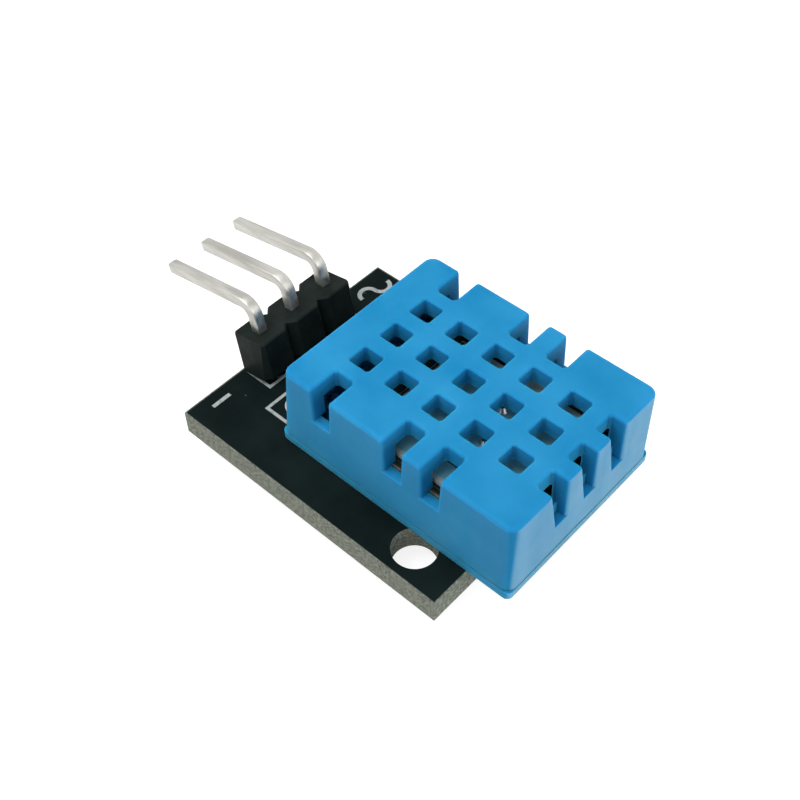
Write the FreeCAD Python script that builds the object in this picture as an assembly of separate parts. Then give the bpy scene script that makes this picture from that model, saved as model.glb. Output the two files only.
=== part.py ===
import FreeCAD, Part
import math
import os

# Temperature and humidity sensor module: a small circuit board that carries a
# leaning three-way pin header and a grille-fronted sensor lying on its back.
#
# Frame: millimetres. The origin is the centre of the mounting hole on the board's
# underside. +X runs along the board from the header end to the sensor's free end,
# +Y runs across it away from the hole, and +Z is the board's upper side.

# Circuit board, whose length follows from the sensor that it carries
board_start_to_leads = 4.45
board_width = 15.9
board_thickness = 1.6
hole_radius = 1.25
hole_to_end = 2.9
hole_to_side = 1.8

# Pin rows
row_pitch = 2.54
header_ways = 3
sensor_ways = 4

# Header: distances from the board's header end and hole side to its row
header_to_end = 1.08
header_to_side = 8.15
header_lean = 11.0
housing_depth = 2.5
housing_height = 2.54
housing_chamfer = 0.46
housing_far_loss = 0.3
housing_near_loss = 0.05
housing_near_slant = 6.0
housing_edge_chamfer = 0.08
pin_width = 0.64
pin_tail = 2.95
pin_corner_height = 4.35
pin_reach = 7.2
pin_bend_radius = 0.45
pin_tip_chamfer = 0.17
pin_hole_clearance = 0.05

# Solder joints
pad_radius = 0.95
joint_height = 0.75
joint_tip_margin = 0.08

# Sensor body
sensor_length = 15.5
sensor_width = 12.0
sensor_height = 5.5
sensor_overhang = 2.6
sensor_to_side = 2.5
plate_thickness = 0.5
plate_corner_radius = 0.35
shell_base_inset = 0.03
shell_draft_inset = 0.06
shell_head_flare = 0.33
shell_corner_radius = 0.65
shell_edge_radius = 0.2

# Hollow of the shell: thin lower walls, thicker upper walls, and the ledge between
lower_wall_inset = 0.65
upper_wall_inset = 1.0
ledge_depth = 2.35
grille_thickness = 1.1
cavity_corner_radius = 0.3

# Grille: rows along the body and columns across it, centred between their margins
column_count = 3
grille_end_margin = 2.125
grille_side_margin = 3.0
row_bar_width = 1.125
column_bar_width = 1.05
cell_corner_cut = 0.12
cell_edge_chamfer = 0.08

# Slots in the side walls, one beside each marked row, and in the free end. Their sills
# keep a share of the cells' width, they widen upwards, and the end slots lean a little.
slot_beside_row = (True, False, True, True, False)
side_slot_share = 0.8
side_slot_widening = 0.1
side_slot_depth = 2.05
end_slot_share = 0.58
end_slot_widening = 0.25
end_slot_depth = 1.1
end_slot_height = 3.05
end_slot_lean = 0.38
slot_corner_cut = 0.15
slot_mouth_radius = 0.2

# Sensor leads
lead_width = 0.5
lead_thickness = 0.25
lead_row_gap = 1.15
lead_tail = 1.0
lead_bend_radius = 0.3
lead_lap = 0.8
lead_tip_chamfer = 0.08
lead_hole_radius = 0.5
lead_window_clearance = 0.06

# Inner board, with its gaps to the body's ends, and the ribs that carry it
inner_board_start = 3.5
inner_board_end_gap = 0.9
inner_board_thickness = 0.8
inner_board_clearance = 0.1
rib_width = 0.8
rib_offset = 0.3
rib_to_leads = 0.3

# Pieces on the inner board, placed from its edges and from the element's middle
element_start_margin = 1.0
element_end_margin = 0.7
element_low_margin = 0.55
element_high_margin = 1.75
element_thickness = 0.3
terminal_radius = 0.3
terminal_crown_radius = 0.14
terminal_height = 0.28
terminal_places = ((0.75, -0.7), (0.05, 1.6))
bead_to_start = 3.4
bead_to_side = 1.1
bead_radius = 0.35
bead_length = 1.4
bead_end_chamfer = 0.15
wire_width = 0.22
wire_length = 0.7
capacitor_to_end = 2.7
capacitor_to_side = 1.1
capacitor_size = (1.6, 0.8, 0.5)
dome_radius = 2.6
dome_height = 0.6
dome_crown_chamfer = 0.3

# Places that follow from the sizes above
board_end_x = hole_to_end
board_low_y = -hole_to_side
sensor_start_x = board_end_x + sensor_overhang - sensor_length
sensor_y = board_low_y + sensor_to_side + sensor_width / 2
lead_row_x = sensor_start_x - lead_row_gap
board_start_x = lead_row_x - board_start_to_leads
header_y = board_low_y + header_to_side
lean = math.radians(header_lean)
housing_lift = header_to_end * math.sin(lean)
pin_hole_to_end = (header_to_end * math.cos(lean)
                   + (housing_lift + board_thickness / 2) * math.tan(lean))
pin_hole_x = board_start_x + pin_hole_to_end
pin_hole_radius = pin_hole_clearance + math.hypot(
    pin_width / math.cos(lean) / 2 + board_thickness * math.tan(lean) / 2, pin_width / 2)
upright = FreeCAD.Vector(0, 0, 1)

# Grille sizes that fill the front between its margins and bars
row_count = len(slot_beside_row)
cell_length = (sensor_length - 2 * grille_end_margin
               - (row_count - 1) * row_bar_width) / row_count
cell_width = (sensor_width - 2 * grille_side_margin
              - (column_count - 1) * column_bar_width) / column_count
side_slot_half = side_slot_share * cell_length / 2
end_slot_half = end_slot_share * cell_width / 2
shell_top_inset = shell_base_inset + shell_draft_inset

# Levels and edges inside the shell, in the sensor's own frame
ledge_height = sensor_height - ledge_depth
inner_board_bottom = ledge_height - inner_board_thickness
inner_board_end = sensor_length - inner_board_end_gap
inner_board_side = sensor_width / 2 - lower_wall_inset - inner_board_clearance
lead_top = inner_board_bottom
element_low = (inner_board_start + element_start_margin, element_low_margin - inner_board_side)
element_high = (inner_board_end - element_end_margin, inner_board_side - element_high_margin)
bead_place = (inner_board_start + bead_to_start, inner_board_side - bead_to_side)


def row_offsets(count, pitch):
    """Places of a centred row of equal steps."""
    return [(index - (count - 1) / 2) * pitch for index in range(count)]


def box(low, high):
    """Box between two corners."""
    size = [high[axis] - low[axis] for axis in range(3)]
    return Part.makeBox(*size, FreeCAD.Vector(*low))


def rounded_outline(x0, y0, x1, y1, radius, z):
    """Closed rectangle with round corners at height z."""
    slant = radius * (1 - math.sqrt(0.5))
    corners = ((x1, y0, -1, 1), (x1, y1, -1, -1), (x0, y1, 1, -1), (x0, y0, 1, 1))
    edges = []
    previous = FreeCAD.Vector(x0 + radius, y0, z)
    for number, (x, y, inward_x, inward_y) in enumerate(corners):
        on_x_side = FreeCAD.Vector(x + inward_x * radius, y, z)
        on_y_side = FreeCAD.Vector(x, y + inward_y * radius, z)
        middle = FreeCAD.Vector(x + inward_x * slant, y + inward_y * slant, z)
        start, end = (on_x_side, on_y_side) if number % 2 == 0 else (on_y_side, on_x_side)
        edges.append(Part.LineSegment(previous, start).toShape())
        edges.append(Part.Arc(start, middle, end).toShape())
        previous = end
    return Part.Wire(edges)


def cut_outline(x0, y0, x1, y1, cut, z):
    """Corners of a closed rectangle at height z, each corner cut off."""
    points = [FreeCAD.Vector(x, y, z) for x, y in (
        (x0 + cut, y0), (x1 - cut, y0), (x1, y0 + cut), (x1, y1 - cut),
        (x1 - cut, y1), (x0 + cut, y1), (x0, y1 - cut), (x0, y0 + cut))]
    return points + points[:1]


def body_limits(inset, start_x):
    """Low and high corner of the sensor body, moved inwards by inset, in its own frame."""
    half = sensor_width / 2 - inset
    return start_x, -half, sensor_length - inset, half


def body_outline(inset, radius, z):
    """Round-cornered outline of the sensor body, moved inwards by inset."""
    return rounded_outline(*body_limits(inset, inset), radius, z)


def drafted_body():
    """Solid sensor cover with leaning flat walls, flared at the lead end, and round corners."""
    outlines = []
    for inset, start_x, z in ((shell_base_inset, -shell_head_flare, plate_thickness),
                              (shell_top_inset, shell_top_inset, sensor_height)):
        x0, y0, x1, y1 = body_limits(inset, start_x)
        outlines.append([FreeCAD.Vector(x, y, z)
                         for x, y in ((x0, y0), (x1, y0), (x1, y1), (x0, y1), (x0, y0))])
    body = slanted_prism(*outlines)
    uprights = [edge for edge in body.Edges if edge.BoundBox.ZLength > plate_thickness]
    return body.makeFillet(shell_corner_radius, uprights)


def prism(outline, height):
    """Upright solid over a closed outline."""
    return Part.Face(outline).extrude(FreeCAD.Vector(0, 0, height))


def slanted_prism(low, high):
    """Solid with flat sides between two anticlockwise closed outlines with parallel edges."""
    faces = [Part.Face(Part.makePolygon(low[::-1])), Part.Face(Part.makePolygon(high))]
    for start in range(len(low) - 1):
        corners = (low[start], low[start + 1], high[start + 1], high[start], low[start])
        faces.append(Part.Face(Part.makePolygon(corners)))
    return Part.Solid(Part.Shell(faces))


def on_board(shape):
    """Move a shape from the sensor's own frame to its seat on the board."""
    return shape.translated(FreeCAD.Vector(sensor_start_x, sensor_y, board_thickness))


def bent_strip(width, thickness, down, corner_height, reach, bend_radius, tip_chamfer):
    """Strip that rises along Z from -down, turns square at corner_height and runs to -X."""
    half = thickness / 2
    outer_radius = bend_radius + thickness
    low = -down
    top = corner_height + half
    under = corner_height - half
    points = {
        "leg_outer": FreeCAD.Vector(half, 0, low),
        "bend_outer_start": FreeCAD.Vector(half, 0, top - outer_radius),
        "bend_outer_end": FreeCAD.Vector(half - outer_radius, 0, top),
        "arm_top": FreeCAD.Vector(-reach, 0, top),
        "arm_under": FreeCAD.Vector(-reach, 0, under),
        "bend_inner_start": FreeCAD.Vector(-half - bend_radius, 0, under),
        "bend_inner_end": FreeCAD.Vector(-half, 0, under - bend_radius),
        "leg_inner": FreeCAD.Vector(-half, 0, low),
    }
    centre = FreeCAD.Vector(-half - bend_radius, 0, under - bend_radius)
    diagonal = FreeCAD.Vector(1, 0, 1).normalize()
    outer_arc = Part.Arc(points["bend_outer_start"], centre + diagonal * outer_radius,
                         points["bend_outer_end"])
    inner_arc = Part.Arc(points["bend_inner_start"], centre + diagonal * bend_radius,
                         points["bend_inner_end"])
    profile = Part.Wire([
        Part.LineSegment(points["leg_outer"], points["bend_outer_start"]).toShape(),
        outer_arc.toShape(),
        Part.LineSegment(points["bend_outer_end"], points["arm_top"]).toShape(),
        Part.LineSegment(points["arm_top"], points["arm_under"]).toShape(),
        Part.LineSegment(points["arm_under"], points["bend_inner_start"]).toShape(),
        inner_arc.toShape(),
        Part.LineSegment(points["bend_inner_end"], points["leg_inner"]).toShape(),
        Part.LineSegment(points["leg_inner"], points["leg_outer"]).toShape(),
    ])
    strip = Part.Face(profile).extrude(FreeCAD.Vector(0, width, 0))
    strip.translate(FreeCAD.Vector(0, -width / 2, 0))
    tips = [edge for edge in strip.Edges
            if edge.BoundBox.ZMax < low + 1e-6 or edge.BoundBox.XMax < -reach + 1e-6]
    return strip.makeChamfer(tip_chamfer, tips)


def lean_header(shape):
    """Tip an upright header piece outwards about the board's end edge and seat it there."""
    shape = shape.translated(FreeCAD.Vector(header_to_end, 0, 0))
    shape.rotate(FreeCAD.Vector(0, 0, 0), FreeCAD.Vector(0, 1, 0), -header_lean)
    return shape.translated(FreeCAD.Vector(board_start_x, header_y, board_thickness))


def circuit_board():
    """Board with its mounting hole and the two rows of pin holes."""
    board = box((board_start_x, board_low_y, 0),
                (board_end_x, board_low_y + board_width, board_thickness))
    holes = [Part.makeCylinder(hole_radius, board_thickness)]
    for offset in row_offsets(header_ways, row_pitch):
        place = FreeCAD.Vector(pin_hole_x, header_y + offset, 0)
        holes.append(Part.makeCylinder(pin_hole_radius, board_thickness, place))
    for offset in row_offsets(sensor_ways, row_pitch):
        place = FreeCAD.Vector(lead_row_x, sensor_y + offset, 0)
        holes.append(Part.makeCylinder(lead_hole_radius, board_thickness, place))
    return board.cut(holes)


def header_housing():
    """Row of chamfered cells with notches between them, snapped off short at both ends."""
    half_depth = housing_depth / 2
    half_pitch = row_pitch / 2
    cut_depth = half_depth - housing_chamfer
    cut_pitch = half_pitch - housing_chamfer
    corners = ((-cut_depth, -half_pitch), (cut_depth, -half_pitch), (half_depth, -cut_pitch),
               (half_depth, cut_pitch), (cut_depth, half_pitch), (-cut_depth, half_pitch),
               (-half_depth, cut_pitch), (-half_depth, -cut_pitch))
    outline = [FreeCAD.Vector(x, y, 0) for x, y in corners]
    cell = prism(Part.makePolygon(outline + outline[:1]), housing_height)
    half_pin = pin_width / 2
    cell = cell.cut(box((-half_pin, -half_pin, 0), (half_pin, half_pin, housing_height)))
    cells = [cell.translated(FreeCAD.Vector(0, offset, 0))
             for offset in row_offsets(header_ways, row_pitch)]
    row = cells[0].fuse(cells[1:]).removeSplitter()
    row_end = header_ways * row_pitch / 2
    far_break = box((-housing_depth, row_end - housing_far_loss, 0),
                    (housing_depth, row_end, housing_height))
    near_y = housing_near_loss - row_end
    near_break = box((-housing_depth, near_y - row_pitch, -housing_height),
                     (housing_depth, near_y, housing_height * 2))
    near_break.rotate(FreeCAD.Vector(0, near_y, 0), FreeCAD.Vector(1, 0, 0), -housing_near_slant)
    row = row.cut([far_break, near_break])
    half_pin = pin_width / 2 + housing_edge_chamfer
    rims = [edge for edge in row.Edges
            if edge.BoundBox.ZLength < 1e-6 and abs(edge.CenterOfMass.x) > half_pin]
    return lean_header(row.makeChamfer(housing_edge_chamfer, rims))


def header_pin(offset):
    """Square pin through the housing and the board, bent square above the housing."""
    pin = bent_strip(pin_width, pin_width, pin_tail, pin_corner_height, pin_reach,
                     pin_bend_radius, pin_tip_chamfer)
    return lean_header(pin.translated(FreeCAD.Vector(0, offset, 0)))


def header_solder(offset, pin):
    """Solder that fills a header hole and climbs down its leaning pin."""
    y = header_y + offset
    foot = Part.Wire(Part.makeCircle(pad_radius, FreeCAD.Vector(pin_hole_x, y, 0)))
    tip_x = pin_hole_x + (board_thickness / 2 + joint_height) * math.tan(lean)
    tip_radius = pin_width / math.sqrt(2) + joint_tip_margin
    tip = Part.Wire(Part.makeCircle(tip_radius, FreeCAD.Vector(tip_x, y, -joint_height)))
    cone = Part.makeLoft([foot, tip], True, True)
    barrel = Part.makeCylinder(pin_hole_radius, board_thickness, FreeCAD.Vector(pin_hole_x, y, 0))
    return barrel.fuse(cone).removeSplitter().cut(pin)


def sensor_lead(offset):
    """Flat lead: under the inner board, out through the end wall and down through the board."""
    height = lead_top - lead_thickness / 2 + board_thickness
    reach = lead_row_gap + inner_board_start + lead_lap
    strip = bent_strip(lead_width, lead_thickness, lead_tail, height, reach,
                       lead_bend_radius, lead_tip_chamfer)
    strip.rotate(FreeCAD.Vector(0, 0, 0), upright, 180)
    return strip.translated(FreeCAD.Vector(lead_row_x, sensor_y + offset, 0))


def sensor_solder(offset, lead):
    """Solder that fills a lead hole and climbs down its lead."""
    place = FreeCAD.Vector(lead_row_x, sensor_y + offset, 0)
    tip_radius = math.hypot(lead_width, lead_thickness) / 2 + joint_tip_margin
    below = Part.makeCone(pad_radius, tip_radius, joint_height, place, FreeCAD.Vector(0, 0, -1))
    barrel = Part.makeCylinder(lead_hole_radius, board_thickness, place)
    return barrel.fuse(below).removeSplitter().cut(lead)


def rib_box(side):
    """Upright rib on one long side of the back plate that carries the inner board."""
    outer = sensor_width / 2 - lower_wall_inset - rib_offset
    low_y = min(side * outer, side * (outer - rib_width))
    rib_start = inner_board_start + lead_lap + rib_to_leads
    return box((rib_start, low_y, plate_thickness),
               (inner_board_end, low_y + rib_width, inner_board_bottom))


def back_plate():
    """Thin plate that closes the sensor's back, with two ribs under the inner board."""
    outline = rounded_outline(*body_limits(0, -shell_head_flare), plate_corner_radius, 0)
    plate = prism(outline, plate_thickness)
    return on_board(plate.fuse([rib_box(-1), rib_box(1)]).removeSplitter())


def grille_rows():
    """Places of the grille's rows along the body."""
    middle = sensor_length / 2
    return [middle + offset for offset in row_offsets(row_count, cell_length + row_bar_width)]


def grille_columns():
    """Places of the grille's columns across the body."""
    return row_offsets(column_count, cell_width + column_bar_width)


def side_slot_rows():
    """Places of the rows that have a slot on each side."""
    return [x for x, slotted in zip(grille_rows(), slot_beside_row) if slotted]


def grille_cell(x, y):
    """Cutter for one square cell of the grille."""
    half_length = cell_length / 2
    half_width = cell_width / 2
    outline = cut_outline(x - half_length, y - half_width, x + half_length, y + half_width,
                          cell_corner_cut, ledge_height)
    return prism(Part.makePolygon(outline), sensor_height)


def side_slot(x, side):
    """Cutter for a slot that opens one long side wall above the ledge and widens upwards."""
    inner = sensor_width / 2 - side_slot_depth
    low_y, high_y = sorted((side * inner, side * sensor_width))
    outlines = []
    for rise in (0, 2):
        half = side_slot_half + rise * side_slot_widening
        z = ledge_height + rise * (sensor_height - ledge_height)
        outlines.append(cut_outline(x - half, low_y, x + half, high_y, slot_corner_cut, z))
    return slanted_prism(*outlines)


def end_slot(y):
    """Cutter for a slot that opens the free end wall, leans along it and widens upwards."""
    low_x = sensor_length - end_slot_depth
    outlines = []
    for rise in (0, 2):
        half = end_slot_half + rise * end_slot_widening
        middle = y + (1 - rise) * end_slot_lean
        z = sensor_height + (rise - 1) * end_slot_height
        outlines.append(cut_outline(low_x, middle - half, sensor_length * 2, middle + half,
                                    slot_corner_cut, z))
    return slanted_prism(*outlines)


def lead_window(offset):
    """Cutter for the window in the end wall that one lead leaves through."""
    half = lead_width / 2 + lead_window_clearance
    return box((-lead_row_gap, offset - half, lead_top - lead_thickness - lead_window_clearance),
               (upper_wall_inset, offset + half, lead_top + lead_window_clearance))


def slot_mouth_edges(shell):
    """Upright edges where the slots leave the shell's drafted outer walls."""
    half = sensor_width / 2 - shell_top_inset
    edges = []
    for edge in shell.Edges:
        top = max(edge.Vertexes, key=lambda vertex: vertex.Z).Point
        rises = edge.BoundBox.ZLength > sensor_height - ledge_height - 1e-6
        on_wall = abs(abs(top.y) - half) < 1e-6 or abs(top.x - sensor_length + shell_top_inset) < 1e-6
        if rises and on_wall and slot_edge(top):
            edges.append(edge)
    return edges


def slot_edge(point):
    """Tell whether a point on the top outline belongs to a slot and not to a body corner."""
    side_half = side_slot_half + side_slot_widening
    end_half = end_slot_half + end_slot_widening
    at_side = any(abs(abs(point.x - x) - side_half) < 1e-6 for x in side_slot_rows())
    at_end = any(abs(abs(point.y - y) - end_half) < 1e-6 for y in grille_columns())
    return at_side or at_end


def grille_shell():
    """Moulded cover: drafted walls, stepped hollow, grille, slots and rounded edges."""
    lower = prism(body_outline(lower_wall_inset, cavity_corner_radius, plate_thickness),
                  ledge_height - plate_thickness)
    upper = prism(body_outline(upper_wall_inset, cavity_corner_radius, ledge_height),
                  sensor_height - grille_thickness - ledge_height)
    cutters = [lower, upper]
    cutters += [grille_cell(x, y) for x in grille_rows() for y in grille_columns()]
    cutters += [side_slot(x, side) for x in side_slot_rows() for side in (-1, 1)]
    cutters += [end_slot(y) for y in grille_columns()]
    cutters += [lead_window(offset) for offset in row_offsets(sensor_ways, row_pitch)]
    shell = drafted_body().cut(cutters)
    shell = shell.makeFillet(slot_mouth_radius, slot_mouth_edges(shell))
    front = max((face for face in shell.Faces if face.BoundBox.ZMin > sensor_height - 1e-6),
                key=lambda face: face.Area)
    shell = shell.makeFillet(shell_edge_radius, front.OuterWire.Edges)
    front = max((face for face in shell.Faces if face.BoundBox.ZMin > sensor_height - 1e-6),
                key=lambda face: face.Area)
    cell_edges = [edge for wire in front.Wires if not wire.isSame(front.OuterWire)
                  for edge in wire.Edges]
    return on_board(shell.makeChamfer(cell_edge_chamfer, cell_edges))


def inner_board():
    """Small board inside the shell, held between the ledge and the plate's ribs."""
    return on_board(box((inner_board_start, -inner_board_side, inner_board_bottom),
                        (inner_board_end, inner_board_side, ledge_height)))


def humidity_element():
    """Flat substrate of the humidity element on the inner board."""
    return on_board(box((*element_low, ledge_height),
                        (*element_high, ledge_height + element_thickness)))


def element_terminal(place):
    """Low round solder bead on the humidity element."""
    middle = [(low + high) / 2 for low, high in zip(element_low, element_high)]
    foot = FreeCAD.Vector(middle[0] + place[0], middle[1] + place[1],
                          ledge_height + element_thickness)
    return on_board(Part.makeCone(terminal_radius, terminal_crown_radius, terminal_height, foot))


def thermistor_bead():
    """Temperature bead with chamfered ends, lying on the inner board beside the element."""
    start = FreeCAD.Vector(bead_place[0] - bead_length / 2, bead_place[1],
                           ledge_height + bead_radius)
    bead = Part.makeCylinder(bead_radius, bead_length, start, FreeCAD.Vector(1, 0, 0))
    rims = [edge for edge in bead.Edges if isinstance(edge.Curve, Part.Circle)]
    return on_board(bead.makeChamfer(bead_end_chamfer, rims))


def thermistor_wire(side):
    """Flat wire end of the bead on one side, bent down to the inner board."""
    start_x = bead_place[0] + side * bead_length / 2
    far_x = start_x + side * wire_length
    foot_x = far_x - side * wire_width
    middle = ledge_height + bead_radius
    half = wire_width / 2
    y = bead_place[1]
    run = box((min(start_x, far_x), y - half, middle - half),
              (max(start_x, far_x), y + half, middle + half))
    foot = box((min(foot_x, far_x), y - half, ledge_height),
               (max(foot_x, far_x), y + half, middle - half))
    return on_board(run.fuse(foot).removeSplitter())


def inner_capacitor():
    """Chip capacitor on the inner board beside the humidity element."""
    length, width, height = capacitor_size
    x = inner_board_end - capacitor_to_end
    y = inner_board_side - capacitor_to_side
    return on_board(box((x - length / 2, y - width / 2, ledge_height),
                        (x + length / 2, y + width / 2, ledge_height + height)))


def controller_dome():
    """Low resin dome over the controller on the inner board's underside."""
    foot = FreeCAD.Vector((inner_board_start + inner_board_end) / 2, 0, inner_board_bottom)
    dome = Part.makeCylinder(dome_radius, dome_height, foot, FreeCAD.Vector(0, 0, -1))
    crown = [edge for edge in dome.Edges
             if edge.BoundBox.ZMax < inner_board_bottom - dome_height + 1e-6]
    return on_board(dome.makeChamfer(dome_crown_chamfer, crown))


def build_nodes():
    """Every piece of the module under its node name."""
    nodes = {
        "circuit_board": circuit_board(),
        "header_housing": header_housing(),
        "sensor_back_plate": back_plate(),
        "sensor_grille_shell": grille_shell(),
        "sensor_inner_board": inner_board(),
        "humidity_element": humidity_element(),
        "thermistor_bead": thermistor_bead(),
        "inner_capacitor": inner_capacitor(),
        "controller_dome": controller_dome(),
    }
    for number, offset in enumerate(row_offsets(header_ways, row_pitch), start=1):
        pin = header_pin(offset)
        nodes[f"header_pin_{number}"] = pin
        nodes[f"header_solder_{number}"] = header_solder(offset, pin)
    for number, offset in enumerate(row_offsets(sensor_ways, row_pitch), start=1):
        lead = sensor_lead(offset)
        nodes[f"sensor_lead_{number}"] = lead
        nodes[f"sensor_solder_{number}"] = sensor_solder(offset, lead)
    for number, place in enumerate(terminal_places, start=1):
        nodes[f"element_terminal_{number}"] = element_terminal(place)
    for number, side in enumerate((-1, 1), start=1):
        nodes[f"thermistor_wire_{number}"] = thermistor_wire(side)
    return nodes


os.makedirs("parts", exist_ok=True)
for name, shape in build_nodes().items():
    shape.exportStep(f"parts/{name}.step")
    print(name, len(shape.Solids), shape.isValid(), round(shape.Volume, 3))
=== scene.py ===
import bpy
import math
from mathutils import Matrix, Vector


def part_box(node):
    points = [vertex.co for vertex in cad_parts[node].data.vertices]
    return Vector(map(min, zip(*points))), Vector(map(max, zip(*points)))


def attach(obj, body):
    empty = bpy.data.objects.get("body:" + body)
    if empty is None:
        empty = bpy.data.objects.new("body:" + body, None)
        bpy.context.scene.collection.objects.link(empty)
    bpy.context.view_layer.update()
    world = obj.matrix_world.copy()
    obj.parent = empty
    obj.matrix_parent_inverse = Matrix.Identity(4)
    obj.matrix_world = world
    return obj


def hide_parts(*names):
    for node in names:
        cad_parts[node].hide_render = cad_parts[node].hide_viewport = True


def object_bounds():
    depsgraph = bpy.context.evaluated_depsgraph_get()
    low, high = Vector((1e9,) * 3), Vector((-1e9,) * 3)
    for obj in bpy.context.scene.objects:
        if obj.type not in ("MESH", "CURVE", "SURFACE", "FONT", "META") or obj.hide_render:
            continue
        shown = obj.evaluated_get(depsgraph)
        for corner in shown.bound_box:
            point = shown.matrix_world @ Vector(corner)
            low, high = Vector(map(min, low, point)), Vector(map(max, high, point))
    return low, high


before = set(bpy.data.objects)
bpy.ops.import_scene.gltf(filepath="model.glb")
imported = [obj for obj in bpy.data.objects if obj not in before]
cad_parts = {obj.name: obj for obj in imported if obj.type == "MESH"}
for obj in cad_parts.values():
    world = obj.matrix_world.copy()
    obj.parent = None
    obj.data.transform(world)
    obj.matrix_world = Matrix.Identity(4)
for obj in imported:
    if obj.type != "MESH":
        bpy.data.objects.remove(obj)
cadBox = [list(corner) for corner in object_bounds()]
print("frame loaded with", len(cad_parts), "nodes")

# sizes and places are written in millimetres and turned into metres here
mm = 0.001
boardLow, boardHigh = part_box("circuit_board")
boardTop = boardHigh.z
headerRow = {"x": -14.344, "y": (3.81, 6.35, 8.89), "lean": 11.0}
leadRow = {"x": -11.15, "y": (2.89, 5.43, 7.97, 10.51)}


# node groups that several materials share

def newGroup(name, inputs, outputs):
    group = bpy.data.node_groups.new(name, "ShaderNodeTree")
    for label, kind, value in inputs:
        socket = group.interface.new_socket(name=label, in_out="INPUT", socket_type=kind)
        socket.default_value = value
    for label in outputs:
        group.interface.new_socket(name=label, in_out="OUTPUT", socket_type="NodeSocketFloat")
    return group, group.nodes.new("NodeGroupInput"), group.nodes.new("NodeGroupOutput")


def put(tree, kind, values=None, **settings):
    node = tree.nodes.new(kind)
    for key, value in settings.items():
        setattr(node, key, value)
    for key, value in (values or {}).items():
        if isinstance(value, bpy.types.NodeSocket):
            tree.links.new(value, node.inputs[key])
        else:
            node.inputs[key].default_value = value
    return node


def calc(tree, operation, first, second=0.0, clamp=False):
    return put(tree, "ShaderNodeMath", {0: first, 1: second}, operation=operation,
               use_clamp=clamp).outputs[0]


def ramp(tree, value, low, high, toLow=0.0, toHigh=1.0):
    return put(tree, "ShaderNodeMapRange", {"Value": value, "From Min": low, "From Max": high,
                                            "To Min": toLow, "To Max": toHigh}).outputs[0]


def blendColour(tree, mask, first, second):
    return put(tree, "ShaderNodeMix", {0: mask, 6: first, 7: second}, data_type="RGBA").outputs[2]


def buildMottle():  # soft cloudy mask; Stretch draws it out into streaks
    group, start, end = newGroup("cloudyMottle", [
        ("Scale", "NodeSocketFloat", 800.0), ("Stretch", "NodeSocketVector", (1, 1, 1)),
        ("Detail", "NodeSocketFloat", 4.0), ("Low", "NodeSocketFloat", 0.35),
        ("High", "NodeSocketFloat", 0.65)], ["Mask"])
    place = put(group, "ShaderNodeTexCoord").outputs["Object"]
    drawn = put(group, "ShaderNodeVectorMath", {0: place, 1: start.outputs["Stretch"]},
                operation="MULTIPLY").outputs[0]
    noise = put(group, "ShaderNodeTexNoise", {"Vector": drawn, "Scale": start.outputs["Scale"],
                                              "Detail": start.outputs["Detail"]}).outputs[0]
    mask = ramp(group, noise, start.outputs["Low"], start.outputs["High"])
    group.links.new(mask, end.inputs["Mask"])
    return group


def buildEdgeWearAndHighlight():  # rubbed edges, and on the blue sensor shell also a painted edge highlight, broken up by noise
    group, start, end = newGroup("edgeRubAndHighlight", [
        ("Radius", "NodeSocketFloat", 0.00012), ("Scale", "NodeSocketFloat", 3000.0),
        ("Amount", "NodeSocketFloat", 4.0)], ["Mask"])
    rounded = put(group, "ShaderNodeBevel", {"Radius": start.outputs["Radius"]},
                  samples=4).outputs[0]
    flat = put(group, "ShaderNodeNewGeometry").outputs["Normal"]
    same = put(group, "ShaderNodeVectorMath", {0: rounded, 1: flat},
               operation="DOT_PRODUCT").outputs["Value"]
    turned = calc(group, "SUBTRACT", 1.0, same, clamp=True)
    place = put(group, "ShaderNodeTexCoord").outputs["Object"]
    noise = put(group, "ShaderNodeTexNoise", {"Vector": place, "Scale": start.outputs["Scale"],
                                              "Detail": 3.0}).outputs[0]
    broken = ramp(group, noise, 0.3, 0.6, 0.35, 1.0)
    strong = calc(group, "MULTIPLY", turned, start.outputs["Amount"])
    group.links.new(calc(group, "MULTIPLY", strong, broken, clamp=True), end.inputs["Mask"])
    return group


def buildSpecks():  # a few small round specks of dust or ink
    group, start, end = newGroup("looseSpecks", [
        ("Scale", "NodeSocketFloat", 900.0), ("Size", "NodeSocketFloat", 0.08),
        ("Share", "NodeSocketFloat", 0.1)], ["Mask"])
    place = put(group, "ShaderNodeTexCoord").outputs["Object"]
    cells = put(group, "ShaderNodeTexVoronoi", {"Vector": place, "Scale": start.outputs["Scale"]})
    spot = put(group, "ShaderNodeMapRange", {"Value": cells.outputs["Distance"],
                                             "From Min": start.outputs["Size"], "From Max": 0.0,
                                             "To Min": 0.0, "To Max": 1.6}).outputs[0]
    parts = put(group, "ShaderNodeSeparateColor", {0: cells.outputs["Color"]})
    chosen = calc(group, "LESS_THAN", parts.outputs[0], start.outputs["Share"])
    group.links.new(calc(group, "MULTIPLY", spot, chosen, clamp=True), end.inputs["Mask"])
    return group


def buildUpright():  # 1 on upright walls, 0 on level faces
    group, start, end = newGroup("uprightWalls", [("Steep", "NodeSocketFloat", 0.5)], ["Mask"])
    flat = put(group, "ShaderNodeNewGeometry").outputs["Normal"]
    parts = put(group, "ShaderNodeSeparateXYZ", {0: flat})
    level = calc(group, "ABSOLUTE", parts.outputs[2])
    edge = calc(group, "ADD", start.outputs["Steep"], 0.15)
    group.links.new(ramp(group, level, edge, start.outputs["Steep"]), end.inputs["Mask"])
    return group


mottleGroup = buildMottle()
edgeGroup = buildEdgeWearAndHighlight()
speckGroup = buildSpecks()
uprightGroup = buildUpright()


def useGroup(tree, group, **values):
    node = tree.nodes.new("ShaderNodeGroup")
    node.node_tree = group
    for label, value in values.items():
        node.inputs[label].default_value = value
    return node.outputs["Mask"]


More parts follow.
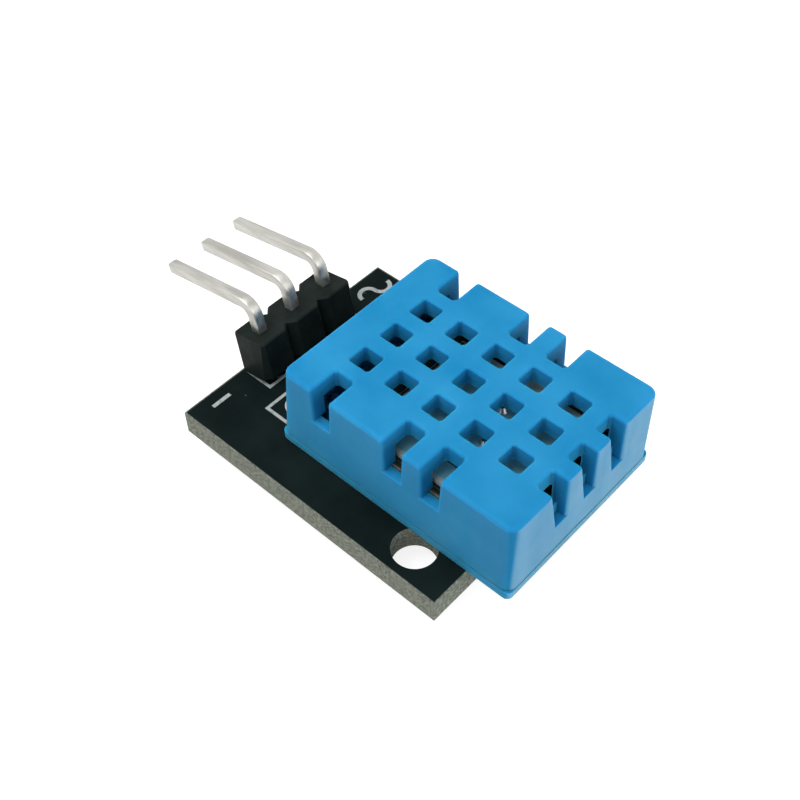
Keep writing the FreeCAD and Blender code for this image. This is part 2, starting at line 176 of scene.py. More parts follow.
def startMaterial(name, fixed):  # fixed values by the names of the shader's sockets
    material = bpy.data.materials.new(name)
    material.use_nodes = True
    tree = material.node_tree
    shader = tree.nodes["Principled BSDF"]
    for label, value in fixed.items():
        shader.inputs[label].default_value = value
    return material, tree, shader


def roughen(tree, shader, height, strength, depth):  # a fine relief of that depth
    bump = put(tree, "ShaderNodeBump", {"Height": height, "Strength": strength,
                                        "Distance": depth * mm})
    tree.links.new(bump.outputs[0], shader.inputs["Normal"])


def feed(tree, shader, **sockets):  # Base_Color stands for Base Color
    for label, socket in sockets.items():
        tree.links.new(socket, shader.inputs[label.replace("_", " ")])


print("node groups built")

# materials

# the bands are distances in millimetres from the housing's outline or foot, where a tone
# starts and where it is full
# the pale blue-grey tone and its shares make a painted sheen on the outer walls; the lighter edge
# tone is partly edge wear, partly a painted edge highlight
sensorLook = {"deep": (0.012, 0.205, 0.415, 1), "plain": (0.024, 0.250, 0.480, 1),
              "rubbedAndHighlit": (0.046, 0.300, 0.560, 1), "paintedSheen": (0.230, 0.450, 0.640, 1),
              "speck": (0.012, 0.090, 0.200, 1), "scuff": (0.200, 0.430, 0.640, 1),
              "ior": 1.10, "softness": 0.70, "softRadius": (0.1, 0.6, 1.0), "softDepth": 1.1,
              "paintedSheenShare": (0.38, 0.74), "nearShare": 0.14, "scuffShare": 0.4,
              "endBand": (0.20, 0.10), "nearBand": (0.20, 0.12), "footBand": (0.2, 0.5),
              "rough": (0.38, 0.50)}


def makeSensorPlastic(name, rubAndHighlightAmount):  # soft blue plastic with a painted sheen on its outer walls and lighter edges, partly worn and partly a painted highlight
    look = sensorLook
    material, tree, shader = startMaterial(name, {
        "Metallic": 0.0, "IOR": look["ior"], "Subsurface Weight": look["softness"],
        "Subsurface Radius": look["softRadius"], "Subsurface Scale": look["softDepth"] * mm})
    cloud = useGroup(tree, mottleGroup, Scale=260.0, Detail=5.0)
    colour = blendColour(tree, cloud, look["deep"], look["plain"])
    place = put(tree, "ShaderNodeTexCoord").outputs["Object"]
    parts = put(tree, "ShaderNodeSeparateXYZ", {0: place})
    # painted sheen: the end wall, and more weakly the near wall, are paled in upright streaks where
    # the pale surroundings would be reflected at a grazing angle
    low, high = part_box("sensor_back_plate")
    endFace = ramp(tree, parts.outputs[0], *[high.x - away * mm for away in look["endBand"]])
    nearFace = ramp(tree, parts.outputs[1], *[low.y + away * mm for away in look["nearBand"]],
                    0.0, look["nearShare"])
    wall = calc(tree, "MULTIPLY", useGroup(tree, uprightGroup, Steep=0.5),
                calc(tree, "MAXIMUM", endFace, nearFace))
    streak = useGroup(tree, mottleGroup, Scale=520.0, Stretch=(1, 1, 0.22), Low=0.25, High=0.75)
    paintedSheen = calc(tree, "MULTIPLY", wall, ramp(tree, streak, 0.0, 1.0, *look["paintedSheenShare"]))
    colour = blendColour(tree, paintedSheen, colour, look["paintedSheen"])
    # lighter rounded edges, kept off the foot: partly edge wear, partly a painted highlight along
    # the edges
    rubAndHighlight = useGroup(tree, edgeGroup, Radius=0.14 * mm, Scale=2600.0, Amount=rubAndHighlightAmount)
    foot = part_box("sensor_grille_shell")[0].z
    aboveFoot = ramp(tree, parts.outputs[2], *[foot + away * mm for away in look["footBand"]])
    colour = blendColour(tree, calc(tree, "MULTIPLY", rubAndHighlight, aboveFoot), colour, look["rubbedAndHighlit"])
    speck = useGroup(tree, speckGroup, Scale=620.0, Size=0.09, Share=0.10)
    colour = blendColour(tree, speck, colour, look["speck"])
    scuff = useGroup(tree, speckGroup, Scale=1100.0, Size=0.10, Share=0.09)
    scuff = calc(tree, "MULTIPLY", scuff, look["scuffShare"])
    colour = blendColour(tree, scuff, colour, look["scuff"])
    sheen = useGroup(tree, mottleGroup, Scale=900.0)
    feed(tree, shader, Base_Color=colour, Roughness=ramp(tree, sheen, 0.0, 1.0, *look["rough"]))
    grain = useGroup(tree, mottleGroup, Scale=5200.0, Detail=3.0, Low=0.2, High=0.8)
    roughen(tree, shader, grain, 0.12, 0.02)
    return material


boardLook = {"mask": (0.0034, 0.0070, 0.0068, 1), "maskPale": (0.0066, 0.0120, 0.0118, 1),
             "glass": (0.140, 0.155, 0.125, 1), "glassPale": (0.350, 0.370, 0.310, 1),
             "dust": (0.16, 0.16, 0.15, 1), "dustShare": 0.5, "ior": 1.08, "rough": (0.42, 0.85),
             "rim": 0.09, "rimShare": 0.6, "weaveScale": 420.0, "weaveDepth": 0.12,
             "sawDepth": 2.2}


def outlineBand(tree, low, high, width):  # 1 within that width of a box's outline seen from above
    place = put(tree, "ShaderNodeTexCoord").outputs["Object"]
    parts = put(tree, "ShaderNodeSeparateXYZ", {0: place})
    band = 0.0
    for axis in (0, 1):
        centre, half = (low[axis] + high[axis]) / 2, (high[axis] - low[axis]) / 2
        away = calc(tree, "ABSOLUTE", calc(tree, "SUBTRACT", parts.outputs[axis], centre))
        near = ramp(tree, away, half - width * mm, half - width * mm * 0.7)
        band = calc(tree, "MAXIMUM", band, near)
    return band


def makeBoard(name, low, high, look):  # solder mask on the faces, sawn glass cloth on the edges
    material, tree, shader = startMaterial(name, {"Metallic": 0.0, "IOR": look["ior"]})
    cloud = useGroup(tree, mottleGroup, Scale=330.0, Detail=5.0)
    mask = blendColour(tree, cloud, look["mask"], look["maskPale"])
    dust = useGroup(tree, speckGroup, Scale=1500.0, Size=0.10, Share=0.05)
    mask = blendColour(tree, calc(tree, "MULTIPLY", dust, look["dustShare"]), mask, look["dust"])
    saw = useGroup(tree, mottleGroup, Scale=7500.0, Stretch=(0.8, 0.8, 1.2), Detail=4.0,
                   Low=0.34, High=0.66)
    glass = blendColour(tree, saw, look["glass"], look["glassPale"])
    place = put(tree, "ShaderNodeTexCoord").outputs["Object"]
    rim = calc(tree, "MULTIPLY", outlineBand(tree, low, high, look["rim"]), look["rimShare"])
    bare = calc(tree, "MAXIMUM", useGroup(tree, uprightGroup, Steep=0.5), rim)
    feed(tree, shader, Base_Color=blendColour(tree, bare, mask, glass),
         Roughness=ramp(tree, bare, 0.0, 1.0, *look["rough"]))
    threads = [put(tree, "ShaderNodeTexWave", {"Vector": place, "Scale": look["weaveScale"],
                                               "Distortion": 0.6}, bands_direction=axis)
               for axis in ("X", "Y")]
    cloth = calc(tree, "MULTIPLY", threads[0].outputs["Fac"], threads[1].outputs["Fac"])
    sawn = calc(tree, "MULTIPLY", calc(tree, "MULTIPLY", saw, bare), look["sawDepth"])
    relief = calc(tree, "ADD", calc(tree, "MULTIPLY", cloth, look["weaveDepth"]), sawn)
    roughen(tree, shader, relief, 0.5, 0.03)
    return material


# plain finishes: a dark and a pale tone, the tone of rubbed edges, least and most roughness
plainUsual = {"fixed": {"Metallic": 0.0}, "scale": 700.0, "stretch": (1, 1, 1), "grain": 4200.0,
              "depth": 0.02, "strength": 0.2, "edgeShare": 0.5}
plainLook = {
    "headerPlastic": {"dark": (0.0045, 0.0085, 0.0075, 1), "pale": (0.0100, 0.0155, 0.0140, 1),
                      "edge": (0.028, 0.038, 0.035, 1), "rough": (0.42, 0.55), "strength": 0.35,
                      "fixed": {"Metallic": 0.0, "IOR": 1.15}},
    "pinTin": {"dark": (0.41, 0.405, 0.37, 1), "pale": (0.56, 0.555, 0.52, 1),
               "edge": (0.86, 0.85, 0.81, 1), "rough": (0.34, 0.50), "strength": 0.25,
               "scale": 1500.0, "stretch": (0.12, 1, 1), "fixed": {"Metallic": 1.0}},
    "leadTin": {"dark": (0.50, 0.49, 0.46, 1), "pale": (0.68, 0.67, 0.64, 1),
                "edge": (0.80, 0.79, 0.77, 1), "rough": (0.25, 0.38), "scale": 1700.0,
                "fixed": {"Metallic": 1.0}},
    "solderTin": {"dark": (0.48, 0.48, 0.47, 1), "pale": (0.66, 0.66, 0.64, 1),
                  "edge": (0.80, 0.80, 0.78, 1), "rough": (0.16, 0.34), "strength": 0.3,
                  "scale": 1100.0, "grain": 1500.0, "depth": 0.04, "fixed": {"Metallic": 1.0}},
    "blackResin": {"dark": (0.006, 0.006, 0.007, 1), "pale": (0.013, 0.013, 0.014, 1),
                   "edge": (0.04, 0.04, 0.04, 1), "rough": (0.18, 0.32)},
    "traceMask": {"dark": (0.0125, 0.0165, 0.0175, 1), "pale": (0.0210, 0.0250, 0.0260, 1),
                  "edge": (0.035, 0.040, 0.042, 1), "rough": (0.30, 0.42)},
    "combBlack": {"dark": (0.004, 0.005, 0.005, 1), "pale": (0.012, 0.013, 0.013, 1),
                  "edge": (0.03, 0.03, 0.03, 1), "rough": (0.5, 0.7)},
    "chipCeramic": {"dark": (0.14, 0.085, 0.05, 1), "pale": (0.22, 0.14, 0.09, 1),
                    "edge": (0.30, 0.22, 0.15, 1), "rough": (0.4, 0.6)},
}


def makePlain(name):  # a mottled finish with rubbed edges and a fine grain
    look = {**plainUsual, **plainLook[name]}
    material, tree, shader = startMaterial(name, look["fixed"])
    scale, stretch = look["scale"], look["stretch"]
    cloud = useGroup(tree, mottleGroup, Scale=scale, Stretch=stretch, Detail=5.0)
    colour = blendColour(tree, cloud, look["dark"], look["pale"])
    rubAndHighlight = useGroup(tree, edgeGroup, Radius=0.08 * mm, Scale=3500.0, Amount=3.0)
    colour = blendColour(tree, calc(tree, "MULTIPLY", rubAndHighlight, look["edgeShare"]), colour, look["edge"])
    sheen = useGroup(tree, mottleGroup, Scale=scale * 1.7, Stretch=stretch)
    feed(tree, shader, Base_Color=colour, Roughness=ramp(tree, sheen, 0.0, 1.0, *look["rough"]))
    fine = useGroup(tree, mottleGroup, Scale=look["grain"], Stretch=stretch, Detail=3.0,
                    Low=0.2, High=0.8)
    roughen(tree, shader, fine, look["strength"], look["depth"])
    return material


inkTones = {"worn": (0.17, 0.19, 0.185, 1), "full": (0.32, 0.35, 0.34, 1)}


def makeInk():  # thin white ink through which the mask shows
    material, tree, shader = startMaterial("printInk", {"Metallic": 0.0})
    thin = useGroup(tree, mottleGroup, Scale=3800.0, Detail=4.0, Low=0.26, High=0.50)
    colour = blendColour(tree, thin, inkTones["worn"], inkTones["full"])
    feed(tree, shader, Base_Color=colour, Roughness=ramp(tree, thin, 0.0, 1.0, 0.75, 0.55))
    roughen(tree, shader, thin, 0.3, 0.01)
    return material


elementLook = {"print": (0.150, 0.440, 0.500, 1), "printPale": (0.220, 0.540, 0.600, 1),
               "border": (0.46, 0.55, 0.50, 1), "speck": (0.03, 0.035, 0.03, 1),
               "borderWidth": 0.32}


def makeElement():  # printed substrate with a paler border all round
    material, tree, shader = startMaterial("elementPrint", {"Metallic": 0.0})
    low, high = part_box("humidity_element")
    cloud = useGroup(tree, mottleGroup, Scale=900.0, Detail=6.0)
    colour = blendColour(tree, cloud, elementLook["print"], elementLook["printPale"])
    border = outlineBand(tree, low, high, elementLook["borderWidth"])
    colour = blendColour(tree, border, colour, elementLook["border"])
    speck = useGroup(tree, speckGroup, Scale=2200.0, Size=0.16, Share=0.12)
    colour = blendColour(tree, speck, colour, elementLook["speck"])
    feed(tree, shader, Base_Color=colour, Roughness=ramp(tree, cloud, 0.0, 1.0, 0.45, 0.65))
    roughen(tree, shader, cloud, 0.25, 0.02)
    return material


chipEnds = {"start": 0.30, "full": 0.31, "tone": (0.55, 0.55, 0.53, 1)}  # shares of its length


def makeChip():  # brown body with tinned ends
    material = makePlain("chipCeramic")
    tree = material.node_tree
    shader = tree.nodes["Principled BSDF"]
    low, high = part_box("inner_capacitor")
    body = shader.inputs["Base Color"].links[0].from_socket
    place = put(tree, "ShaderNodeTexCoord").outputs["Object"]
    along = put(tree, "ShaderNodeSeparateXYZ", {0: place}).outputs[0]
    away = calc(tree, "ABSOLUTE", calc(tree, "SUBTRACT", along, (low.x + high.x) / 2))
    length = high.x - low.x
    cap = ramp(tree, away, length * chipEnds["start"], length * chipEnds["full"])
    feed(tree, shader, Base_Color=blendColour(tree, cap, body, chipEnds["tone"]), Metallic=cap)
    return material


sensorPlastic = makeSensorPlastic("sensorPlastic", 1.2)
platePlastic = makeSensorPlastic("platePlastic", 0.0)
boardMask = makeBoard("boardMask", boardLow, boardHigh, boardLook)
innerLow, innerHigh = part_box("sensor_inner_board")
innerLook = {**boardLook, "mask": (0.010, 0.020, 0.016, 1), "maskPale": (0.022, 0.036, 0.030, 1)}
innerBoardMask = makeBoard("innerBoardMask", innerLow, innerHigh, innerLook)
headerPlastic, pinTin, leadTin, solderTin, blackResin, traceMask, combBlack = [
    makePlain(name) for name in ("headerPlastic", "pinTin", "leadTin", "solderTin",
                                 "blackResin", "traceMask", "combBlack")]
printInk = makeInk()
elementPrint = makeElement()
chipCeramic = makeChip()
print("materials built")

# the CAD nodes take their finishes

nodeFinish = {
    "circuit_board": boardMask, "header_housing": headerPlastic,
    "sensor_back_plate": platePlastic, "sensor_grille_shell": sensorPlastic,
    "sensor_inner_board": innerBoardMask, "humidity_element": elementPrint,
    "element_terminal": solderTin, "thermistor_bead": blackResin, "thermistor_wire": leadTin,
    "inner_capacitor": chipCeramic, "controller_dome": blackResin, "header_pin": pinTin,
    "header_solder": solderTin, "sensor_lead": leadTin, "sensor_solder": solderTin,
}
for name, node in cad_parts.items():
    finish = next(finish for start, finish in nodeFinish.items() if name.startswith(start))
    if not node.material_slots:
        node.data.materials.append(finish)
    for place in node.material_slots:
        place.material = finish
print("finishes assigned")


# modelling helpers

def onlyThis(piece):  # the one selected and active piece
    bpy.ops.object.select_all(action="DESELECT")
    piece.select_set(True)
    bpy.context.view_layer.objects.active = piece


def startEdit():
    bpy.ops.object.mode_set(mode="EDIT")
    bpy.ops.mesh.select_all(action="SELECT")


def namePiece(name):
    piece = bpy.context.object
    piece.name = name
    piece.data.name = name
    return piece


def extrudeBy(value):  # pulls the selected faces out by that shift, in metres
    bpy.ops.mesh.extrude_region_move(TRANSFORM_OT_translate={"value": value})


def copyPiece(piece, name, shift):  # a copy with its own mesh
    onlyThis(piece)
    bpy.ops.object.duplicate()
    bpy.ops.transform.translate(value=[value * mm for value in shift])
    return namePiece(name)


def copyAlong(first, stem, rows):  # one copy for each further place across the board
    copies = [copyPiece(first, f"{stem}{number}", (0, y - rows[0], 0))
              for number, y in enumerate(rows[1:], start=2)]
    return [first, *copies]


def finishPiece(piece, finish, replaced=(), smooth=None):  # smooth is an angle
    if bpy.context.mode != "OBJECT":
        bpy.ops.object.mode_set(mode="OBJECT")
    onlyThis(piece)
    bpy.ops.object.transform_apply(location=True, rotation=True, scale=True)
    startEdit()
    bpy.ops.mesh.normals_make_consistent(inside=False)
    bpy.ops.object.mode_set(mode="OBJECT")
    if smooth:
        bpy.ops.object.shade_smooth_by_angle(angle=math.radians(smooth))
    piece.data.materials.clear()
    piece.data.materials.append(finish)
    if replaced:
        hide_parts(*replaced)
    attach(piece, "root")
    return piece


def addPlane(name, low, high, height):  # corners in millimetres, height in metres
    bpy.ops.object.select_all(action="DESELECT")
    bpy.ops.mesh.primitive_plane_add(size=1, location=((low[0] + high[0]) / 2 * mm,
                                                       (low[1] + high[1]) / 2 * mm, height))
    piece = namePiece(name)
    piece.scale = ((high[0] - low[0]) * mm, (high[1] - low[1]) * mm, 1)
    bpy.ops.object.transform_apply(location=True, rotation=True, scale=True)
    return piece


def addSlab(name, low, high, height, rise):  # a flat block of that rise, in millimetres
    piece = addPlane(name, low, high, height)
    startEdit()
    extrudeBy((0, 0, rise * mm))
    bpy.ops.object.mode_set(mode="OBJECT")
    return piece


def addDisc(name, x, y, height, radius, sides=40):  # height in metres, the rest in millimetres
    bpy.ops.object.select_all(action="DESELECT")
    bpy.ops.mesh.primitive_circle_add(vertices=sides, radius=radius * mm, fill_type="NGON",
                                      location=(x * mm, y * mm, height))
    return namePiece(name)


def hollowAndRaise(line, rise):  # leaves a frame of that line width, with a little thickness
    startEdit()
    bpy.ops.mesh.inset(thickness=line * mm, depth=0)
    bpy.ops.mesh.delete(type="FACE")
    bpy.ops.mesh.select_all(action="SELECT")
    extrudeBy((0, 0, rise * mm))


# printed marks on the board

inkLook = {"line": 0.19, "rise": 0.02,
           "headerBox": ((-15.32, 2.62), (-13.30, 10.20)),
           "leadBox": ((-12.46, 1.41), (-9.92, 11.57)),
           "dash": ((-14.83, -0.44), (-14.59, 0.82)),
           "wave": {"x": -14.32, "y": 12.45, "radius": 0.55, "line": 0.27}}


def printBox(name, corners):
    piece = addPlane(name, corners[0], corners[1], boardTop)
    hollowAndRaise(inkLook["line"], inkLook["rise"])
    return finishPiece(piece, printInk)


def printDash():
    piece = addSlab("dashMark", *inkLook["dash"], boardTop, inkLook["rise"])
    return finishPiece(piece, printInk)


def printWave():  # one plain wave: two half rings, one up and one down
    wave = inkLook["wave"]
    halves = []
    for side in (-1, 1):
        middle = wave["y"] + side * wave["radius"]
        piece = addDisc("waveMark", wave["x"], middle, boardTop, wave["radius"] + wave["line"] / 2)
        hollowAndRaise(wave["line"], inkLook["rise"])
        bpy.ops.mesh.select_all(action="SELECT")
        bpy.ops.mesh.bisect(plane_co=(wave["x"] * mm, middle * mm, boardTop), plane_no=(side, 0, 0),
                            clear_inner=True, use_fill=True)
        bpy.ops.object.mode_set(mode="OBJECT")
        halves.append(piece)
    onlyThis(halves[0])
    halves[1].select_set(True)
    bpy.ops.object.join()
    return finishPiece(halves[0], printInk)


printBox("headerBoxMark", inkLook["headerBox"])
printBox("leadBoxMark", inkLook["leadBox"])
printDash()
printWave()
print("printed marks done")

# bent header pins with soft edges and rounded tips, drawn upright and then leaned outwards
# each tip step is (distance from the end, share of the full width)

pinLook = {"width": 0.64, "tail": 2.95, "bendHeight": 3.58, "bendRadius": 0.77, "reach": 7.2,
           "toEnd": 1.08, "bendSteps": 8, "edge": 0.07, "edgeSteps": 3, "edgeAngle": 70,
           "tip": ((0.0, 0.42), (0.04, 0.66), (0.11, 0.88), (0.24, 1.0))}


def drawPins():
    width, tip = pinLook["width"] * mm, pinLook["tip"]
    legX, tailZ = pinLook["toEnd"] * mm, -pinLook["tail"] * mm
    bendX, bendZ = legX - pinLook["bendRadius"] * mm, pinLook["bendHeight"] * mm
    armZ, endX = bendZ + pinLook["bendRadius"] * mm, legX - pinLook["reach"] * mm
    bpy.ops.object.select_all(action="DESELECT")
    bpy.ops.mesh.primitive_plane_add(size=width * tip[0][1], location=(legX, 0, tailZ))
    first = namePiece("roundedPin1")
    bpy.ops.object.transform_apply(location=True, rotation=True, scale=True)
    startEdit()
    for (start, narrow), (stop, wide) in zip(tip, tip[1:]):
        extrudeBy((0, 0, (stop - start) * mm))
        size = wide / narrow
        bpy.ops.transform.resize(value=(size, size, 1),
                                 center_override=(legX, 0, tailZ + stop * mm))
    extrudeBy((0, 0, bendZ - tailZ - tip[-1][0] * mm))
    bpy.ops.mesh.spin(steps=pinLook["bendSteps"], angle=math.radians(90),
                      center=(bendX, 0, bendZ), axis=(0, 1, 0))
    extrudeBy((endX + tip[-1][0] * mm - bendX, 0, 0))
    for (stop, narrow), (start, wide) in zip(tip[-2::-1], tip[:0:-1]):
        extrudeBy(((stop - start) * mm, 0, 0))
        size = narrow / wide
        bpy.ops.transform.resize(value=(1, size, size),
                                 center_override=(endX + stop * mm, 0, armZ))
    bpy.ops.mesh.select_all(action="SELECT")
    bpy.ops.mesh.remove_doubles(threshold=0.001 * mm)
    bpy.ops.mesh.normals_make_consistent(inside=False)
    bpy.ops.object.mode_set(mode="OBJECT")
    bpy.ops.object.modifier_add(type="BEVEL")
    soften = first.modifiers[-1]
    soften.width = pinLook["edge"] * mm
    soften.segments = pinLook["edgeSteps"]
    soften.limit_method = "ANGLE"
    soften.angle_limit = math.radians(pinLook["edgeAngle"])
    bpy.ops.object.modifier_apply(modifier=soften.name)
    first.rotation_euler = (0, -math.radians(headerRow["lean"]), 0)
    first.location = (boardLow.x, headerRow["y"][0] * mm, boardTop)
    bpy.ops.object.transform_apply(location=True, rotation=True, scale=True)
    for number, pin in enumerate(copyAlong(first, "roundedPin", headerRow["y"]), start=1):
        finishPiece(pin, pinTin, [f"header_pin_{number}"], smooth=35)


drawPins()
print("pins done")

# tinned pads round every pin hole, on both faces

padLook = {"hole": 0.64, "topRadius": 0.86, "underRadius": 1.0, "rise": 0.025}


def layPads(name, places, base, radius, rise):
    first = addDisc(f"{name}1", places["x"], places["y"][0], base, radius)
    hollowAndRaise(radius - padLook["hole"], rise)
    bpy.ops.object.mode_set(mode="OBJECT")
    for pad in copyAlong(first, name, places["y"]):
        finishPiece(pad, solderTin, smooth=40)


for row, places in (("header", headerRow), ("lead", leadRow)):
    layPads(f"{row}PadTop", places, boardTop, padLook["topRadius"], padLook["rise"])
    layPads(f"{row}PadUnder", places, 0.0, padLook["underRadius"], -padLook["rise"])
print("pads done")

# solder drawn up round the pins, from the tip below through the hole to the top
# each ring of a profile is (height, radius), and a leaning joint leans about the hole's middle

solderLook = {
    "sides": 36, "middle": 0.8,
    "header": ((-0.74, 0.40), (-0.52, 0.45), (-0.32, 0.52), (-0.16, 0.66), (-0.05, 0.86),
               (-0.01, 0.94), (0.0, 0.60), (1.60, 0.60), (1.61, 0.90), (1.66, 0.62), (1.74, 0.46)),
    "lead": ((-0.74, 0.19), (-0.52, 0.26), (-0.32, 0.37), (-0.16, 0.56), (-0.05, 0.82),
             (-0.01, 0.93), (0.0, 0.48), (1.60, 0.48), (1.61, 0.80), (1.66, 0.64), (1.75, 0.46),
             (1.84, 0.34), (1.93, 0.26)),
}


def drawSolder(name, places, profile, replaced, lean):
    drift = math.tan(math.radians(lean))
    centres = [places["x"] + (solderLook["middle"] - height) * drift for height, radius in profile]
    y = places["y"][0]
    height, radius = profile[0]
    first = addDisc(f"{name}1", centres[0], y, height * mm, radius, solderLook["sides"])
    bpy.ops.object.transform_apply(location=True, rotation=True, scale=True)
    startEdit()
    for step in range(1, len(profile)):
        (lastHeight, lastRadius), (height, radius) = profile[step - 1:step + 1]
        extrudeBy(((centres[step] - centres[step - 1]) * mm, 0, (height - lastHeight) * mm))
        size = radius / lastRadius
        bpy.ops.transform.resize(value=(size, size, 1),
                                 center_override=(centres[step] * mm, y * mm, height * mm))
    bpy.ops.object.mode_set(mode="OBJECT")
    for number, fillet in enumerate(copyAlong(first, name, places["y"]), start=1):
        finishPiece(fillet, solderTin, [f"{replaced}_{number}"], smooth=35)


drawSolder("headerFillet", headerRow, solderLook["header"], "header_solder", headerRow["lean"])
drawSolder("leadFillet", leadRow, solderLook["lead"], "sensor_solder", 0.0)
print("solder done")

# flat bars: copper runs under the mask, printed lines and a painted shadow line

edgeShare = 0.45  # how much of a bar's height its rounded edges take


def addBar(name, start, end, width, base, rise, finish):
    (x0, y0), (x1, y1) = start, end
    length = math.hypot(x1 - x0, y1 - y0)
    bpy.ops.object.select_all(action="DESELECT")
    bpy.ops.mesh.primitive_cube_add(
        size=1, location=((x0 + x1) / 2 * mm, (y0 + y1) / 2 * mm, base + rise * mm / 2),
        rotation=(0, 0, math.atan2(y1 - y0, x1 - x0)),
        scale=((length + width) * mm, width * mm, abs(rise) * mm))
    piece = namePiece(name)
    bpy.ops.object.transform_apply(location=True, rotation=True, scale=True)
    startEdit()
    bpy.ops.mesh.bevel(offset=abs(rise) * mm * edgeShare, segments=2, affect="EDGES")
    bpy.ops.object.mode_set(mode="OBJECT")
    return finishPiece(piece, finish, smooth=40)


# runs on the underside, from the header's pins to the sensor's leads
runLook = {"width": 0.36, "rise": -0.03, "routes": (
    ((-14.31, 3.81), (-13.1, 3.81), (-12.2, 2.89), (-11.15, 2.89)),
    ((-14.31, 6.35), (-13.4, 6.35), (-12.5, 5.43), (-11.15, 5.43)),
    ((-14.31, 8.89), (-12.9, 8.89), (-11.9, 9.80), (-11.15, 10.51)),
)}
for route, points in enumerate(runLook["routes"], start=1):
    for leg, (start, end) in enumerate(zip(points, points[1:]), start=1):
        addBar(f"copperRun{route}{leg}", start, end, runLook["width"], 0.0, runLook["rise"],
               traceMask)

# inside the sensor, in millimetres from its header end and its hole side

plateLow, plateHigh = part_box("sensor_back_plate")
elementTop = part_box("humidity_element")[1].z
sensorLength = 15.5


def fromSensor(x, y):
    return plateHigh.x / mm - sensorLength + x, plateLow.y / mm + y


# printed lines, a painted shadow line at the element's header-side edge and the element's pale
# margin: two ends, width and height over what they lie on
lineLook = {
    "elementTrack": {"ends": ((8.9, 2.62), (10.2, 2.62)), "width": 0.15, "rise": 0.02,
                     "base": elementTop, "finish": combBlack},
    "elementMargin": {"ends": ((7.9, 9.70), (10.6, 9.70)), "width": 0.42, "rise": 0.27,
                      "base": innerHigh.z, "finish": elementPrint},
    "combLine1": {"ends": ((4.5, 0.86), (13.8, 0.86)), "width": 0.10, "rise": 0.03,
                  "base": innerHigh.z, "finish": combBlack},
    "combLine2": {"ends": ((4.5, 1.12), (13.8, 1.12)), "width": 0.10, "rise": 0.03,
                  "base": innerHigh.z, "finish": combBlack},
    # a black strip along the element's header-side edge: painted shadow of the gap there
    "elementEdgeShadow": {"ends": ((4.62, 1.5), (4.62, 9.3)), "width": 0.16, "rise": 0.02,
                        "base": elementTop, "finish": combBlack},
}
for name, line in lineLook.items():
    start, end = [fromSensor(*place) for place in line["ends"]]
    addBar(name, start, end, line["width"], line["base"], line["rise"], line["finish"])

# flat shoulders that hold the leads in the body
shoulderLook = {"start": 1.15, "end": 2.25, "halfWidth": 0.52, "rise": 0.05}


def addShoulders():
    low, high = [fromSensor(shoulderLook[side], 0)[0] for side in ("start", "end")]
    firstY, half = leadRow["y"][0], shoulderLook["halfWidth"]
    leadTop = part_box("sensor_lead_1")[1].z
    first = addSlab("leadShoulder1", (low, firstY - half), (high, firstY + half), leadTop,
                    shoulderLook["rise"])
    for piece in copyAlong(first, "leadShoulder", leadRow["y"]):
        finishPiece(piece, leadTin)


# blocks behind the foot of each end slot, beside the inner board; heights are over the board
linerLook = {"y": (4.03, 6.38, 8.73), "start": 14.61, "end": 14.86, "halfWidth": 0.75,
             "low": 1.9, "high": 3.18}


def addLiners():
    firstY, half = linerLook["y"][0], linerLook["halfWidth"]
    first = addSlab("slotLiner1", fromSensor(linerLook["start"], firstY - half),
                    fromSensor(linerLook["end"], firstY + half), boardTop + linerLook["low"] * mm,
                    linerLook["high"] - linerLook["low"])
    for piece in copyAlong(first, "slotLiner", linerLook["y"]):
        finishPiece(piece, sensorPlastic)


addShoulders()
addLiners()
print("runs, printed lines, shoulders and liners done")

# floor, lamps, world and camera

stageLook = {"floorColour": 0.38, "floorGlow": 0.84, "floorRough": 0.9, "floorSize": 2.4,
             "floorGap": 0.02, "ambient": 0.42}


def seenRay(tree):  # 1 for what the camera, a shine or a clear body shows
    path = put(tree, "ShaderNodeLightPath")
    shiny = calc(tree, "MAXIMUM", path.outputs["Is Glossy Ray"],
                 path.outputs["Is Transmission Ray"])
    return calc(tree, "MAXIMUM", path.outputs["Is Camera Ray"], shiny)


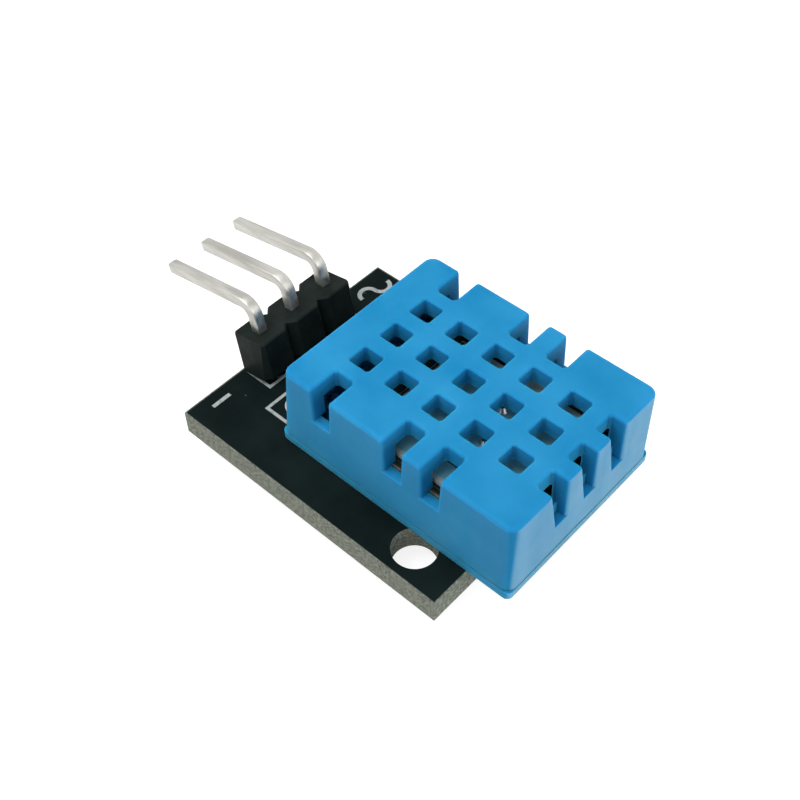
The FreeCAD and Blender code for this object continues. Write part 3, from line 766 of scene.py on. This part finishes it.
def makeFloor():
    bpy.ops.object.select_all(action="DESELECT")
    bpy.ops.mesh.primitive_plane_add(size=stageLook["floorSize"],
                                     location=(0, 0, cadBox[0][2] - stageLook["floorGap"] * mm))
    floor = namePiece("paleFloor")
    bpy.ops.object.transform_apply(location=True, rotation=True, scale=True)
    grey = stageLook["floorColour"]
    material, tree, shader = startMaterial("floorPaper", {
        "Roughness": stageLook["floorRough"], "Base Color": (grey, grey, grey, 1),
        "Emission Color": (1, 1, 1, 1)})
    tree.links.new(calc(tree, "MULTIPLY", seenRay(tree), stageLook["floorGlow"]),
                   shader.inputs["Emission Strength"])
    floor.data.materials.append(material)


def makeWorld():
    world = bpy.data.worlds.new("paleRoom")
    bpy.context.scene.world = world
    world.use_nodes = True
    tree = world.node_tree
    tree.nodes.clear()
    level = calc(tree, "MAXIMUM", seenRay(tree), stageLook["ambient"])
    room = put(tree, "ShaderNodeBackground", {"Color": (1, 1, 1, 1), "Strength": level})
    put(tree, "ShaderNodeOutputWorld", {"Surface": room.outputs[0]})


# square soft lamps, all turned to one point of the object
lampAim = Vector((-4, 6, 3))
lampLook = {
    "topSoftbox": {"place": (-42, -24, 115), "size": 85, "power": 0.138},
    "frontFill": {"place": (10, -120, 70), "size": 120, "power": 0.036},
    "endSoftbox": {"place": (120, 20, 50), "size": 110, "power": 0.100},
}


def addLamp(name, look):
    bpy.ops.object.select_all(action="DESELECT")
    bpy.ops.object.light_add(type="AREA", location=[value * mm for value in look["place"]])
    lamp = bpy.context.object
    lamp.name = name
    lamp.data.size = look["size"] * mm
    lamp.data.energy = look["power"]
    away = Vector(look["place"]) - lampAim
    lamp.rotation_euler = away.to_track_quat("Z", "Y").to_euler()


cameraLook = {"place": (22.740, -25.554, 52.666), "turn": (40.853, 0.542, 42.101),
              "lens": 54.03, "sensor": 36, "clipStart": 0.001}


def makeCamera():
    bpy.ops.object.select_all(action="DESELECT")
    bpy.ops.object.camera_add(location=[value * mm for value in cameraLook["place"]],
                              rotation=[math.radians(value) for value in cameraLook["turn"]])
    camera = bpy.context.object
    camera.name = "photoCamera"
    camera.data.sensor_width = cameraLook["sensor"]
    camera.data.lens = cameraLook["lens"]
    camera.data.clip_start = cameraLook["clipStart"]
    bpy.context.scene.camera = camera


makeFloor()
makeWorld()
for name, look in lampLook.items():
    addLamp(name, look)
makeCamera()
bpy.context.scene.view_settings.view_transform = "Standard"
print("stage ready")
